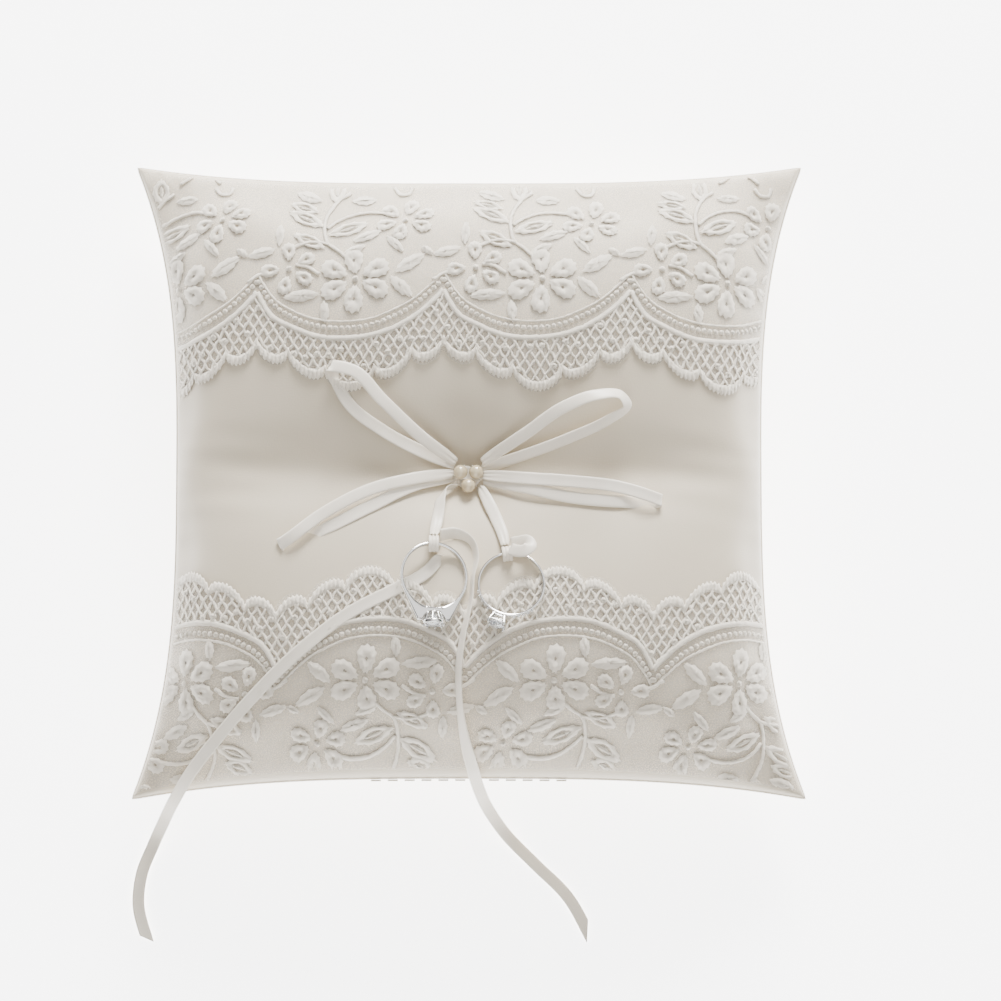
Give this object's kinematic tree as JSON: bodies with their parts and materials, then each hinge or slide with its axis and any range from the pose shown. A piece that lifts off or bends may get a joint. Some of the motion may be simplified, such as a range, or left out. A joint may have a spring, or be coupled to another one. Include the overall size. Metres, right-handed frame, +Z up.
{
  "type": "ring bearer pillow",
  "caption": "Square ivory satin cushion with lace trims, a ribbon bow held by pearls, and rings tied on with ribbon, lying flat.",
  "frame": {"origin": "middle of the cushion's footprint, on the surface that it lies on", "axes": "+X to the right across the cushion, +Y towards its head end, +Z up through the bow"},
  "size_m": [0.2019, 0.2339, 0.0634],
  "materials": {
    "satin": "soft satin weave, low sheen",
    "lace": "embroidered tulle with a corded, scalloped border",
    "ribbon": "double-faced satin ribbon",
    "filling": "polyester fibre",
    "thread": "sewing thread",
    "pearl": "lustrous imitation pearl",
    "silver": "polished white metal",
    "stone": "cut clear stone"
  },
  "bodies": {
    "root": {"front_panel": "satin", "back_panel": "satin", "fibre_filling": "filling", "edge_seam": "satin", "closing_stitches": "thread", "lace_trim_head": "lace", "lace_trim_foot": "lace", "bow_loop_upper_left": "ribbon", "bow_loop_lower_left": "ribbon", "bow_loop_upper_right": "ribbon", "bow_loop_lower_right": "ribbon", "bow_gather": "ribbon", "pearl_left": "pearl", "pearl_right": "pearl", "pearl_foot": "pearl", "pearl_stitches": "thread", "tufting_thread": "thread", "ribbon_strand_left": "ribbon", "ribbon_wrap_left": "ribbon", "ribbon_tail_left": "ribbon", "ribbon_tail_right": "ribbon", "ribbon_strand_right": "ribbon", "ribbon_wrap_right": "ribbon", "ribbon_knot_loop": "ribbon"},
    "left_ring": {"left_ring_band": "silver", "left_ring_setting": "silver", "left_ring_stone": "stone"},
    "right_ring": {"right_ring_band": "silver", "right_ring_head": "silver", "right_ring_stone": "stone", "right_ring_accents": "stone"}
  },
  "joints": [
    {"name": "left_ring_swing", "type": "hinge", "parent": "root", "child": "left_ring", "pos_m": [-0.0099, -0.0227, 0.05646], "axis": [-1, 0, 0], "range_deg": [0, 110]},
    {"name": "right_ring_swing", "type": "hinge", "parent": "root", "child": "right_ring", "pos_m": [0.01144, -0.02545, 0.05432], "axis": [-1, 0, 0], "range_deg": [0, 110]}
  ]
}
